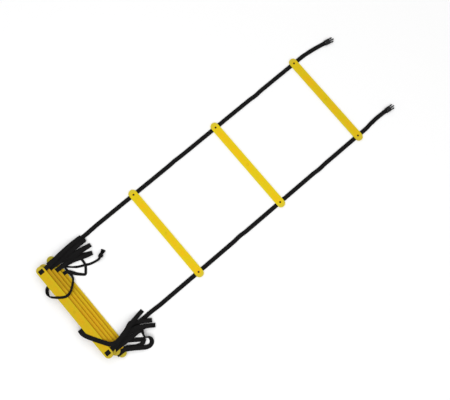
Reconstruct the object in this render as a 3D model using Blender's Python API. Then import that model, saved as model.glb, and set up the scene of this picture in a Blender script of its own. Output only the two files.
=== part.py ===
# Agility ladder, three rungs laid out and five gathered in a pile at one end.
# X runs along the side straps towards the buckles, Y along the rungs, Z up.
# All sizes are in metres. Places are measured from the middle of the lowest piled rung.
import math

import bmesh
import bpy
from mathutils import Matrix, Vector

# Driving dimensions of the rungs, which are moulded slats
rung_length = 0.420
rung_width = 0.032
rung_thickness = 0.0040
rung_edge_round = 0.0007
slot_floor_wall = 0.0009
slot_side_clearance = 0.0006
window_length = 0.0195
pin_hole_diameter = 0.0042
strap_end_margin = 0.021

# Webbing of the side straps
strap_width = 0.0160
strap_thickness = 0.0014
fit_gap = 0.0003
floor_gap = 0.00005
cut_overrun = 0.004

# How the rungs lie: three laid out, one after another, and the pile's own offsets
first_spacing = 0.385
second_spacing = 0.405
third_spacing = 0.405
pile_offsets = [(0.0, 0.0), (-0.012, -0.038), (-0.024, -0.018), (-0.036, -0.008), (-0.048, -0.009)]

# Fold lines, halfway along each span, where the ladder doubles back on itself
pile_fold_height = 0.0172
under_fold_height = -0.0003
over_fold_height = 0.0057

# Strap tails beyond the last rung, and their buckles
tail_travel = 0.030
tail_drop_length = 0.020
tail_length = 0.1068
tail_return_length = 0.082
tail_settle_length = 0.0157
tail_run_shares = (0.4, 0.6, 0.8, 1.0)
tail_return_shares = (0.4, 0.7, 1.0)
left_tail_headings = (math.radians(-4), math.radians(-13))
right_tail_headings = (math.radians(8), math.radians(-6))
bar_diameter = 0.0032
buckle_width = 0.0215
buckle_base_length = 0.0220
buckle_thickness = 0.0064
buckle_slot_length = 0.0038
buckle_slot_margin = 0.0006
buckle_edge_round = 0.0006
arm_length = 0.0140
arm_half_spread = 0.0106
arm_thickness = 0.0038
arm_root_gap = 0.0003
arm_root_share = 0.66
guide_length = 0.0190
guide_width = 0.0044
guide_thickness = 0.0026
guide_tip_shares = [(1.00, 1.00), (0.33, 0.70), (0.00, 0.00), (0.33, -0.70), (1.00, -1.00)]

# Narrow tape that ties the pile
tape_width = 0.0100
tape_thickness = 0.0009
knot_radius = 0.0085
flare_length = 0.016
flare_width = 0.019
flare_droop = 0.0060
knot_flatness = 0.86
knot_end_share = 0.10
flare_shares = [(0.45, 0.5, 0.34, 0.9), (1.0, 1.0, 0.5, 0.6)]

# Smoothness of round stretches
end_arc_steps = 18
hole_steps = 14
bar_wrap_steps = 9
bar_steps = 14
knot_ring_steps = 7
knot_sides = 10
bend_per_ring = 0.30
most_rings_per_stretch = 5
side_smoothing_passes = 3
least_level_share = 0.45
bevel_from = math.radians(40)
crease_from = math.radians(35)

# An outline of one buckle arm, as shares of its length and of its half spread, root first
arm_outline_shares = [
    (0.00, 0.54), (0.00, 0.78), (0.10, 0.90), (0.30, 0.97), (0.55, 1.00), (0.80, 0.97),
    (0.94, 0.85), (1.00, 0.70), (0.96, 0.59), (0.85, 0.56), (0.55, 0.56), (0.25, 0.56),
]
base_outline_shares = [
    (0.00, 0.89), (0.03, 0.92), (0.35, 0.94), (0.70, 1.00), (0.88, 0.97), (1.00, 0.88),
]

half_gauge = rung_length / 2 - strap_end_margin
half_width = rung_width / 2
slot_height = strap_thickness + 2 * fit_gap
slot_width = strap_width + 2 * slot_side_clearance
strap_height = slot_floor_wall + slot_height / 2
layer_height = rung_thickness + strap_thickness + 2 * fit_gap
fold_1_place = first_spacing / 2
fold_2_place = first_spacing + second_spacing / 2
fold_3_place = first_spacing + second_spacing + third_spacing / 2
rung_places = [first_spacing, first_spacing + second_spacing,
               first_spacing + second_spacing + third_spacing]

# Routes of the loose loops and ties: x, y, z in metres and the roll of the webbing in degrees.
# Each y is counted from the line of that side's strap, so the routes move with the slat's length.
# Each side loop leaves one piled rung towards -X, doubles back over it, lies out on the floor
# side and comes back into the next rung up.
loop_routes = {
    "loop_left_1": [
        (-0.0002, 0.0000, 0.0019, 0), (-0.0120, 0.0000, 0.0019, 0), (-0.0170, 0.0000, 0.0020, 0),
        (-0.0190, 0.0000, 0.0034, 0), (-0.0170, 0.0000, 0.0049, 0), (-0.0110, 0.0000, 0.0050, 0),
        (0.0150, -0.0005, 0.0050, 0), (0.0300, -0.0055, 0.0042, 0), (0.0650, -0.0290, 0.0024, 0),
        (0.0920, -0.0480, 0.0020, 0), (0.1160, -0.0610, 0.0008, 0), (0.1290, -0.0680, 0.0012, 0),
        (0.1318, -0.0695, 0.0034, 0), (0.1285, -0.0690, 0.0054, 0), (0.1160, -0.0660, 0.0046, 0),
        (0.0920, -0.0580, 0.0040, 0), (0.0620, -0.0470, 0.0040, 0), (0.0300, -0.0402, 0.0060, 0),
        (0.0100, -0.0382, 0.0079, 0), (0.0020, -0.0380, 0.0081, 0), (-0.0118, -0.0380, 0.0081, 0),
    ],
    "loop_left_2": [
        (-0.0122, -0.0380, 0.0081, 0), (-0.0250, -0.0380, 0.0081, 0), (-0.0290, -0.0380, 0.0082, 0),
        (-0.0310, -0.0380, 0.0095, 0), (-0.0290, -0.0380, 0.0109, 0), (-0.0240, -0.0380, 0.0110, 0),
        (0.0030, -0.0380, 0.0110, 0), (0.0280, -0.0378, 0.0086, 0), (0.0680, -0.0372, 0.0064, 0),
        (0.1040, -0.0385, 0.0046, 0), (0.1310, -0.0410, 0.0013, 0), (0.1430, -0.0420, 0.0012, 0),
        (0.1458, -0.0422, 0.0034, 0), (0.1425, -0.0420, 0.0054, 0), (0.1290, -0.0395, 0.0054, 0),
        (0.1040, -0.0340, 0.0066, 0), (0.0680, -0.0288, 0.0084, 0), (0.0280, -0.0206, 0.0110, 0),
        (0.0000, -0.0180, 0.0139, 0), (-0.0090, -0.0180, 0.0141, 0), (-0.0238, -0.0180, 0.0141, 0),
    ],
    "loop_left_3": [
        (-0.0242, -0.0180, 0.0141, 0), (-0.0370, -0.0180, 0.0141, 0), (-0.0410, -0.0180, 0.0142, 0),
        (-0.0430, -0.0180, 0.0155, 0), (-0.0410, -0.0180, 0.0169, 0), (-0.0360, -0.0180, 0.0170, 0),
        (-0.0090, -0.0180, 0.0170, 0), (0.0260, -0.0178, 0.0134, 0), (0.0680, -0.0165, 0.0106, 0),
        (0.1020, -0.0152, 0.0088, 0), (0.1270, -0.0148, 0.0046, 0), (0.1400, -0.0147, 0.0042, 0),
        (0.1438, -0.0147, 0.0064, 0), (0.1405, -0.0147, 0.0086, 0), (0.1290, -0.0146, 0.0088, 0),
        (0.1040, -0.0143, 0.0112, 0), (0.0680, -0.0138, 0.0126, 0), (0.0260, -0.0098, 0.0156, 0),
        (-0.0120, -0.0080, 0.0199, 0), (-0.0210, -0.0080, 0.0201, 0), (-0.0358, -0.0080, 0.0201, 0),
    ],
    "loop_left_4": [
        (-0.0362, -0.0080, 0.0201, 0), (-0.0490, -0.0080, 0.0201, 0), (-0.0530, -0.0080, 0.0202, 0),
        (-0.0550, -0.0080, 0.0215, 0), (-0.0530, -0.0080, 0.0229, 0), (-0.0480, -0.0080, 0.0230, 0),
        (-0.0180, -0.0080, 0.0230, 0), (0.0080, -0.0046, 0.0206, 0), (0.0280, -0.0012, 0.0182, 0),
        (0.0680, 0.0022, 0.0150, 0), (0.0940, 0.0030, 0.0126, 0), (0.1160, 0.0030, 0.0058, 0),
        (0.1320, 0.0024, 0.0046, 0), (0.1368, 0.0022, 0.0067, 0), (0.1325, 0.0022, 0.0088, 0),
        (0.1180, 0.0028, 0.0096, 0), (0.0940, 0.0026, 0.0150, 0), (0.0680, 0.0016, 0.0172, 0),
        (0.0280, -0.0030, 0.0204, 0), (-0.0240, -0.0088, 0.0259, 0), (-0.0330, -0.0090, 0.0261, 0),
        (-0.0600, -0.0090, 0.0261, 0),
    ],
    "loop_right_1": [
        (-0.0002, 0.0000, 0.0019, 0), (-0.0120, 0.0000, 0.0019, 0), (-0.0170, 0.0000, 0.0020, 0),
        (-0.0190, 0.0000, 0.0034, 0), (-0.0170, -0.0004, 0.0049, 0), (-0.0100, -0.0018, 0.0050, 0),
        (0.0080, -0.0070, 0.0050, 0), (0.0170, -0.0115, 0.0051, 0), (0.0250, -0.0170, 0.0044, 0),
        (0.0380, -0.0272, 0.0026, 0), (0.0550, -0.0402, 0.0009, 0), (0.0640, -0.0470, 0.0008, 0),
        (0.0725, -0.0535, 0.0012, 0), (0.0757, -0.0568, 0.0031, 0), (0.0725, -0.0600, 0.0048, 0),
        (0.0620, -0.0645, 0.0038, 0), (0.0500, -0.0625, 0.0038, 0), (0.0340, -0.0545, 0.0056, 0),
        (0.0180, -0.0432, 0.0075, 0), (0.0080, -0.0386, 0.0081, 0), (0.0020, -0.0380, 0.0081, 0),
        (-0.0118, -0.0380, 0.0081, 0),
    ],
    "loop_right_2": [
        (-0.0122, -0.0380, 0.0081, 0), (-0.0250, -0.0380, 0.0081, 0), (-0.0290, -0.0380, 0.0082, 0),
        (-0.0310, -0.0380, 0.0095, 0), (-0.0290, -0.0380, 0.0109, 0), (-0.0240, -0.0381, 0.0110, 0),
        (0.0010, -0.0395, 0.0111, 0), (0.0100, -0.0440, 0.0111, 0), (0.0200, -0.0508, 0.0100, 0),
        (0.0340, -0.0608, 0.0084, 0), (0.0540, -0.0758, 0.0066, 0), (0.0670, -0.0842, 0.0038, 0),
        (0.0780, -0.0880, 0.0012, 0), (0.0885, -0.0858, 0.0011, 0), (0.0955, -0.0790, 0.0026, -12),
        (0.0982, -0.0705, 0.0056, -35), (0.0965, -0.0630, 0.0077, -62), (0.0910, -0.0580, 0.0085, -82),
        (0.0862, -0.0535, 0.0086, -88), (0.0855, -0.0470, 0.0086, -88), (0.0875, -0.0405, 0.0086, -84),
        (0.0895, -0.0350, 0.0078, -58), (0.0898, -0.0292, 0.0074, -24), (0.0865, -0.0240, 0.0082, -8),
        (0.0790, -0.0215, 0.0094, 0), (0.0550, -0.0212, 0.0108, 0), (0.0260, -0.0200, 0.0122, 0),
        (0.0000, -0.0182, 0.0139, 0), (-0.0090, -0.0180, 0.0141, 0), (-0.0238, -0.0180, 0.0141, 0),
    ],
    "loop_right_3": [
        (-0.0242, -0.0180, 0.0141, 0), (-0.0370, -0.0180, 0.0141, 0), (-0.0410, -0.0180, 0.0142, 0),
        (-0.0430, -0.0180, 0.0155, 0), (-0.0410, -0.0180, 0.0169, 0), (-0.0360, -0.0180, 0.0170, 0),
        (-0.0060, -0.0182, 0.0171, 0), (0.0100, -0.0192, 0.0163, 0), (0.0260, -0.0202, 0.0154, 0),
        (0.0550, -0.0210, 0.0146, 0), (0.0820, -0.0206, 0.0142, 0), (0.1000, -0.0210, 0.0130, 0),
        (0.1130, -0.0258, 0.0082, 0), (0.1270, -0.0348, 0.0018, 0), (0.1375, -0.0424, 0.0012, 0),
        (0.1402, -0.0444, 0.0034, 0), (0.1370, -0.0420, 0.0055, 0), (0.1260, -0.0342, 0.0062, 0),
        (0.1120, -0.0244, 0.0112, 0), (0.0970, -0.0148, 0.0158, 0), (0.0840, -0.0074, 0.0170, 0),
        (0.0700, -0.0048, 0.0174, 0), (0.0450, -0.0046, 0.0178, 0), (0.0180, -0.0056, 0.0188, 0),
        (-0.0100, -0.0077, 0.0200, 0), (-0.0190, -0.0080, 0.0201, 0), (-0.0358, -0.0080, 0.0201, 0),
    ],
    "loop_right_4": [
        (-0.0362, -0.0080, 0.0201, 0), (-0.0490, -0.0080, 0.0201, 0), (-0.0530, -0.0080, 0.0202, 0),
        (-0.0550, -0.0080, 0.0215, 0), (-0.0530, -0.0080, 0.0229, 0), (-0.0480, -0.0080, 0.0230, 0),
        (-0.0180, -0.0074, 0.0231, 0), (0.0060, -0.0015, 0.0222, 0), (0.0240, 0.0035, 0.0213, 0),
        (0.0440, 0.0080, 0.0205, 0), (0.0600, 0.0132, 0.0192, 0), (0.0700, 0.0178, 0.0170, 0),
        (0.0780, 0.0200, 0.0142, 0), (0.0870, 0.0150, 0.0104, 0), (0.1000, 0.0065, 0.0062, 0),
        (0.1120, -0.0020, 0.0045, 0), (0.1300, -0.0140, 0.0041, 0), (0.1400, -0.0208, 0.0042, 0),
        (0.1427, -0.0226, 0.0063, 0), (0.1396, -0.0205, 0.0084, 0), (0.1280, -0.0128, 0.0089, 0),
        (0.1120, -0.0018, 0.0094, 0), (0.0980, 0.0078, 0.0118, 0), (0.0860, 0.0132, 0.0160, 0),
        (0.0740, 0.0140, 0.0192, 0), (0.0600, 0.0100, 0.0209, 0), (0.0440, 0.0044, 0.0223, 0),
        (0.0240, -0.0010, 0.0234, 0), (-0.0240, -0.0088, 0.0259, 0), (-0.0330, -0.0090, 0.0261, 0),
        (-0.0600, -0.0090, 0.0261, 0),
    ],
}

# The webbing that binds the pile: its cut end lies on the floor out of the right bundle; it runs up
# over the bundle, crosses the top rung aslant, turns along its edge and is tucked under it.
binding_route = [
    (0.1385, 0.0268, 0.0010, 0), (0.1310, 0.0257, 0.0010, 0), (0.1200, 0.0241, 0.0060, 0),
    (0.1100, 0.0226, 0.0132, 0), (0.0990, 0.0208, 0.0176, 0), (0.0840, 0.0180, 0.0206, 0),
    (0.0680, 0.0140, 0.0229, 0),
    (0.0500, 0.0085, 0.0245, 0), (0.0300, 0.0035, 0.0262, 0), (0.0100, 0.0005, 0.0281, 0),
    (-0.0080, 0.0015, 0.0290, 0), (-0.0230, 0.0100, 0.0290, 0), (-0.0370, 0.0310, 0.0290, 0),
    (-0.0510, 0.0540, 0.0290, 0), (-0.0620, 0.0730, 0.0290, 0), (-0.0700, 0.0890, 0.0290, 0),
    (-0.0735, 0.1020, 0.0288, 0), (-0.0742, 0.1130, 0.0264, 0), (-0.0742, 0.1192, 0.0190, 0),
    (-0.0740, 0.1180, 0.0100, 0), (-0.0715, 0.1110, 0.0034, 0), (-0.0620, 0.1010, 0.0010, 0),
    (-0.0420, 0.0870, 0.0010, 0),
]

# The narrow tape: from its knot across the floor to the left bundle, folded back beside the
# lowest rung, over the pile, round its far side, back between the two lowest rungs, out in a
# sharp corner and across itself to the left bundle again.
tape_route = [
    (0.1408, -0.1028, 0.0074, 0), (0.1340, -0.1035, 0.0052, 8), (0.1230, -0.1018, 0.0022, 12),
    (0.1100, -0.0990, 0.0010, 6), (0.0980, -0.0950, 0.0006, 0), (0.0860, -0.0885, 0.0006, 0),
    (0.0600, -0.0755, 0.0006, 0), (0.0420, -0.0615, 0.0006, 0), (0.0260, -0.0460, 0.0006, 0),
    (0.0228, -0.0425, 0.0015, 0), (0.0228, -0.0450, 0.0026, 0), (0.0226, -0.0560, 0.0026, 0),
    (0.0226, -0.0720, 0.0026, 0), (0.0226, -0.0880, 0.0034, 0), (0.0205, -0.0980, 0.0056, 0),
    (0.0140, -0.1070, 0.0088, 0), (0.0050, -0.1165, 0.0134, 0), (-0.0050, -0.1250, 0.0180, 0),
    (-0.0150, -0.1320, 0.0234, 0), (-0.0270, -0.1360, 0.0284, 0), (-0.0390, -0.1340, 0.0290, 0),
    (-0.0520, -0.1260, 0.0290, 0), (-0.0670, -0.1135, 0.0291, 0), (-0.0755, -0.1050, 0.0262, 10),
    (-0.0820, -0.0960, 0.0180, 30), (-0.0835, -0.0850, 0.0104, 35), (-0.0790, -0.0730, 0.0060, 20),
    (-0.0680, -0.0650, 0.0049, 5), (-0.0440, -0.0620, 0.0050, 0), (-0.0200, -0.0620, 0.0050, 0),
    (0.0080, -0.0625, 0.0050, 0), (0.0190, -0.0650, 0.0050, 0), (0.0280, -0.0750, 0.0044, 0),
    (0.0400, -0.0920, 0.0016, 0), (0.0540, -0.1070, 0.0007, 0), (0.0635, -0.1140, 0.0008, 0),
    (0.0720, -0.1060, 0.0014, 0), (0.0830, -0.0910, 0.0024, 0), (0.0870, -0.0760, 0.0020, 0),
    (0.0866, -0.0580, 0.0006, 0),
]
knot_place = (0.1500, -0.0980, 0.0077)
knot_angle = math.radians(27)


def clear_scene():
    for ob in list(bpy.data.objects):
        bpy.data.objects.remove(ob, do_unlink=True)


def make_material(name, colour, roughness):
    mat = bpy.data.materials.new(name)
    mat.use_nodes = True
    shader = mat.node_tree.nodes["Principled BSDF"]
    shader.inputs["Base Color"].default_value = (*colour, 1)
    shader.inputs["Roughness"].default_value = roughness
    shader.inputs["Metallic"].default_value = 0
    mat.diffuse_color = (*colour, 1)
    return mat


def mesh_from(name, verts, faces, mat, smooth=False):
    mesh = bpy.data.meshes.new(name)
    mesh.from_pydata(verts, [], faces)
    mesh.materials.append(mat)
    mesh.validate()
    if smooth:
        mesh.shade_smooth()
    return mesh


def add_empty(name, place, parent, parent_place):
    empty = bpy.data.objects.new(name, None)
    empty.location = Vector(place) - Vector(parent_place)
    empty.parent = parent
    bpy.context.scene.collection.objects.link(empty)
    return empty


def add_object(name, mesh, holder, place=(0, 0, 0), turn=(0, 0, 0)):
    # holder is an empty with the place, in the ladder's own frame, that it stands at
    parent, parent_place = holder
    ob = bpy.data.objects.new(name, mesh)
    ob.location = Vector(place) - Vector(parent_place)
    ob.rotation_euler = turn
    ob.parent = parent
    bpy.context.scene.collection.objects.link(ob)
    return ob


def extruded(name, outline, low, high, mat):
    # a closed plate with the given outline, counter-clockwise seen from above
    count = len(outline)
    verts = [(x, y, low) for x, y in outline] + [(x, y, high) for x, y in outline]
    faces = [tuple(reversed(range(count))), tuple(range(count, 2 * count))]
    for i in range(count):
        j = (i + 1) % count
        faces.append((i, j, count + j, count + i))
    return mesh_from(name, verts, faces, mat)


def box(name, x_range, y_range, z_range, mat):
    x0, x1 = x_range
    y0, y1 = y_range
    return extruded(name, [(x0, y0), (x1, y0), (x1, y1), (x0, y1)], z_range[0], z_range[1], mat)


def disc(radius, centre, steps):
    return [(centre[0] + radius * math.cos(2 * math.pi * i / steps),
             centre[1] + radius * math.sin(2 * math.pi * i / steps)) for i in range(steps)]


def add_bevel(ob, width, segments):
    bevel = ob.modifiers.new("edge_round", "BEVEL")
    bevel.width = width
    bevel.segments = segments
    bevel.limit_method = "ANGLE"
    bevel.angle_limit = bevel_from


def add_boolean(ob, other, operation):
    cut = ob.modifiers.new(operation.lower(), "BOOLEAN")
    cut.operation = operation
    cut.solver = "EXACT"
    cut.object = other


def finished_mesh(ob, helpers, name):
    # the modifiers' result as a plain mesh; the blank and its cutters then leave the scene
    bpy.context.view_layer.update()
    depsgraph = bpy.context.evaluated_depsgraph_get()
    mesh = bpy.data.meshes.new_from_object(ob.evaluated_get(depsgraph), depsgraph=depsgraph)
    mesh.name = name
    for helper in [ob] + helpers:
        bpy.data.objects.remove(helper, do_unlink=True)
    mesh.shade_smooth()
    mesh.set_sharp_from_angle(angle=crease_from)
    return mesh


def loose_object(name, mesh):
    ob = bpy.data.objects.new(name, mesh)
    bpy.context.scene.collection.objects.link(ob)
    return ob


def rung_outline():
    # a slat with round ends, counter-clockwise
    straight = rung_length / 2 - half_width
    points = []
    for end in (1, -1):
        for i in range(end_arc_steps + 1):
            angle = math.pi * i / end_arc_steps
            x = half_width * math.cos(angle) * end
            y = (straight + half_width * math.sin(angle)) * end
            points.append((x, y))
    return points


def rung_mesh(mat):
    # Strap slots run right across the slat. Below each, a square window leaves two narrow bars.
    blank = loose_object("rung_blank", extruded("rung_blank", rung_outline(), 0, rung_thickness, mat))
    add_bevel(blank, rung_edge_round, 2)
    cutters = []
    across = (-half_width - cut_overrun, half_width + cut_overrun)
    for side in (1, -1):
        middle = half_gauge * side
        y_range = (middle - slot_width / 2, middle + slot_width / 2)
        slot_top = slot_floor_wall + slot_height
        slot = box("slot", across, y_range, (slot_floor_wall, slot_top), mat)
        window = box("window", (-window_length / 2, window_length / 2), y_range,
                     (-cut_overrun, slot_floor_wall + slot_height / 2), mat)
        hole = extruded("pin_hole", disc(pin_hole_diameter / 2, (0, middle), hole_steps),
                        strap_height, rung_thickness + cut_overrun, mat)
        for cutter_mesh in (slot, window, hole):
            cutter = loose_object(cutter_mesh.name, cutter_mesh)
            cutter.hide_render = True
            cutter.display_type = "WIRE"
            add_boolean(blank, cutter, "DIFFERENCE")
            cutters.append(cutter)
    return finished_mesh(blank, cutters, "rung")


def catmull(a, b, c, d, t):
    # centripetal-like smooth pass through b and c
    return 0.5 * (2 * b + (c - a) * t + (2 * a - 5 * b + 4 * c - d) * t * t
                  + (3 * b - a - 3 * c + d) * t * t * t)


def smooth_route(route):
    # rings along a smooth curve through the route's points, closer where it bends
    points = [Vector(p[:3]) for p in route]
    rolls = [math.radians(p[3]) for p in route]
    first = points[0] * 2 - points[1]
    last = points[-1] * 2 - points[-2]
    ends = [first] + points + [last]
    roll_ends = [rolls[0]] + rolls + [rolls[-1]]
    places = []
    turns = []
    for i in range(1, len(ends) - 2):
        before = (ends[i] - ends[i - 1]).normalized()
        along = (ends[i + 1] - ends[i]).normalized()
        after = (ends[i + 2] - ends[i + 1]).normalized()
        bend = max(before.angle(along, 0), along.angle(after, 0))
        steps = max(1, min(most_rings_per_stretch, round(bend / bend_per_ring)))
        for k in range(steps):
            t = k / steps
            places.append(catmull(ends[i - 1], ends[i], ends[i + 1], ends[i + 2], t))
            mixed = catmull(roll_ends[i - 1], roll_ends[i], roll_ends[i + 1], roll_ends[i + 2], t)
            turns.append(mixed)
    places.append(points[-1])
    turns.append(rolls[-1])
    return places, turns


def side_vectors(places):
    # level across the webbing, kept where the route stands upright in a fold
    tangents = []
    for i in range(len(places)):
        ahead = places[min(i + 1, len(places) - 1)]
        behind = places[max(i - 1, 0)]
        tangents.append((ahead - behind).normalized())
    sides = []
    last = None
    for tangent in tangents:
        flat = Vector((-tangent.y, tangent.x, 0))
        if flat.length > least_level_share or last is None:
            flat.normalize()
            if last is not None and flat.dot(last) < 0:
                flat.negate()
            last = flat
        sides.append(last.copy())
    for _ in range(side_smoothing_passes):
        blended = [sides[0]]
        for i in range(1, len(sides) - 1):
            blended.append((sides[i - 1] + sides[i] * 2 + sides[i + 1]).normalized())
        blended.append(sides[-1])
        sides = blended
    return tangents, sides


def ribbon_mesh(name, route, width, thickness, mat):
    # a flat band swept along the route
    places, turns = smooth_route(route)
    tangents, sides = side_vectors(places)
    verts = []
    for place, tangent, side, turn in zip(places, tangents, sides, turns):
        across = (side - tangent * side.dot(tangent)).normalized()
        across = Matrix.Rotation(turn, 3, tangent) @ across
        up = tangent.cross(across).normalized()
        for across_sign, up_sign in ((1, 1), (-1, 1), (-1, -1), (1, -1)):
            offset = across * (across_sign * width / 2) + up * (up_sign * thickness / 2)
            verts.append(tuple(place + offset))
    faces = [(0, 1, 2, 3)]
    for i in range(len(places) - 1):
        for k in range(4):
            j = (k + 1) % 4
            faces.append((4 * i + k, 4 * i + 4 + k, 4 * i + 4 + j, 4 * i + j))
    top = 4 * (len(places) - 1)
    faces.append((top + 3, top + 2, top + 1, top))
    mesh = mesh_from(name, verts, faces, mat)
    work = bmesh.new()
    work.from_mesh(mesh)
    bmesh.ops.recalc_face_normals(work, faces=work.faces)
    work.to_mesh(mesh)
    work.free()
    return mesh


def straight_route(x_start, x_end, y):
    return [(x_start, y, strap_height, 0), (x_end, y, strap_height, 0)]


def tail_frame(headings, distance):
    # place and heading at a distance along the tail, whose heading changes evenly to its end
    first, last = headings
    turn = first + (last - first) * distance / tail_length
    mean = (first + turn) / 2
    return distance * math.cos(mean), distance * math.sin(mean), turn


def tail_route(side, headings):
    # The strap runs level through the last rung, drops to the floor, passes under the buckle's
    # bar, goes round it and comes back on top of itself.
    y = half_gauge * side
    start_x = fold_3_place + fit_gap / 2
    level_end = rung_places[2] + half_width + tail_travel + fit_gap
    low = strap_thickness / 2 + floor_gap
    wrap_radius = bar_diameter / 2 + fit_gap + strap_thickness / 2
    bar_height = low + wrap_radius
    route = [(start_x, y, strap_height, 0), (rung_places[2], y, strap_height, 0),
             (level_end, y, strap_height, 0)]

    def at(distance, height):
        dx, dy, _ = tail_frame(headings, distance)
        return (level_end + dx, y + dy, height, 0)

    route.append(at(tail_drop_length, low))
    for share in tail_run_shares:
        route.append(at(tail_drop_length + (tail_length - tail_drop_length) * share, low))
    for i in range(1, bar_wrap_steps):
        angle = math.pi * i / bar_wrap_steps
        route.append(at(tail_length + wrap_radius * math.sin(angle),
                        bar_height - wrap_radius * math.cos(angle)))
    above = low + strap_thickness + fit_gap
    top = bar_height + wrap_radius
    route.append(at(tail_length, top))
    route.append(at(tail_length - tail_settle_length / 2, (top + above) / 2))
    route.append(at(tail_length - tail_settle_length, above))
    for share in tail_return_shares:
        route.append(at(tail_length - tail_return_length * share, above))
    return route, level_end, bar_height


def buckle_meshes(plastic):
    # The bar is at the origin; the arms point to +X; heights are taken from the bar's middle.
    base_start = -bar_diameter / 2
    half = buckle_width / 2
    low = -buckle_thickness / 2
    high = buckle_thickness / 2
    right = [(base_start + sx * buckle_base_length, -sy * half) for sx, sy in base_outline_shares]
    left = [(x, -y) for x, y in reversed(right)]
    blank = loose_object("buckle_blank", extruded("buckle_blank", right + left, low, high, plastic))
    add_bevel(blank, buckle_edge_round, 2)
    slot_half = strap_width / 2 + buckle_slot_margin
    bar_half = bar_diameter / 2
    slot = box("strap_slot", (base_start - cut_overrun, bar_half + buckle_slot_length),
               (-slot_half, slot_half), (low - cut_overrun, high + cut_overrun), plastic)
    bar = extruded("bar", disc(bar_half, (0, 0), bar_steps), -half + buckle_edge_round * 2,
                   half - buckle_edge_round * 2, plastic)
    bar.transform(Matrix.Rotation(math.pi / 2, 4, "X"))
    helpers = []
    for helper_mesh, operation in ((slot, "DIFFERENCE"), (bar, "UNION")):
        helper = loose_object(helper_mesh.name, helper_mesh)
        helper.hide_render = True
        helper.display_type = "WIRE"
        add_boolean(blank, helper, operation)
        helpers.append(helper)
    front = base_start + buckle_base_length
    tip = front + guide_length
    guide_half = guide_width / 2
    root = front - 2 * fit_gap
    tip_points = [(tip - guide_half * sx, -guide_half * sy) for sx, sy in guide_tip_shares]
    guide_outline = [(root, -guide_half)] + tip_points + [(root, guide_half)]
    guide = loose_object("guide", extruded("guide", guide_outline, -guide_thickness / 2,
                                           guide_thickness / 2, plastic))
    guide.hide_render = True
    guide.display_type = "WIRE"
    add_boolean(blank, guide, "UNION")
    helpers.append(guide)
    body = finished_mesh(blank, helpers, "buckle_body")
    arms = {}
    for side in (1, -1):
        outline = [(sx * arm_length, (sy - arm_root_share) * arm_half_spread * side)
                   for sx, sy in arm_outline_shares]
        if side == 1:
            outline.reverse()
        arm = loose_object("arm_blank", extruded("arm_blank", outline, -arm_thickness / 2,
                                                 arm_thickness / 2, plastic))
        add_bevel(arm, buckle_edge_round / 2, 1)
        arms[side] = finished_mesh(arm, [], "buckle_arm")
    return body, arms, front


def knot_mesh(mat):
    # a small lump where the tape is knotted, with the cut end flaring out of it
    rings = []
    for i in range(knot_ring_steps + 1):
        share = 2 * i / knot_ring_steps - 1
        r = knot_radius * math.sqrt(max(knot_end_share, 1 - share * share))
        rings.append((knot_radius * share, 0, r, r * knot_flatness))
    for reach_share, droop_share, width_share, thickness_share in flare_shares:
        rings.append((knot_radius + flare_length * reach_share, -flare_droop * droop_share,
                      flare_width * width_share, tape_thickness * thickness_share))
    sides = knot_sides
    verts = []
    for x, middle, half_w, half_t in rings:
        for k in range(sides):
            angle = 2 * math.pi * k / sides
            verts.append((x, half_w * math.cos(angle), middle + half_t * math.sin(angle)))
    faces = [tuple(reversed(range(sides)))]
    for i in range(len(rings) - 1):
        for k in range(sides):
            j = (k + 1) % sides
            faces.append((sides * i + k, sides * i + j, sides * i + sides + j, sides * i + sides + k))
    faces.append(tuple(sides * (len(rings) - 1) + k for k in range(sides)))
    mesh = mesh_from("tie_knot", verts, faces, mat, smooth=True)
    work = bmesh.new()
    work.from_mesh(mesh)
    bmesh.ops.recalc_face_normals(work, faces=work.faces)
    work.to_mesh(mesh)
    work.free()
    return mesh


def beside_strap(route, side):
    # a route counted from a side's strap line, as one in the ladder's frame
    return [(x, y + half_gauge * side, z, roll) for x, y, z, roll in route]


def route_length(route):
    places, _ = smooth_route(route)
    return sum((b - a).length for a, b in zip(places, places[1:]))


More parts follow.
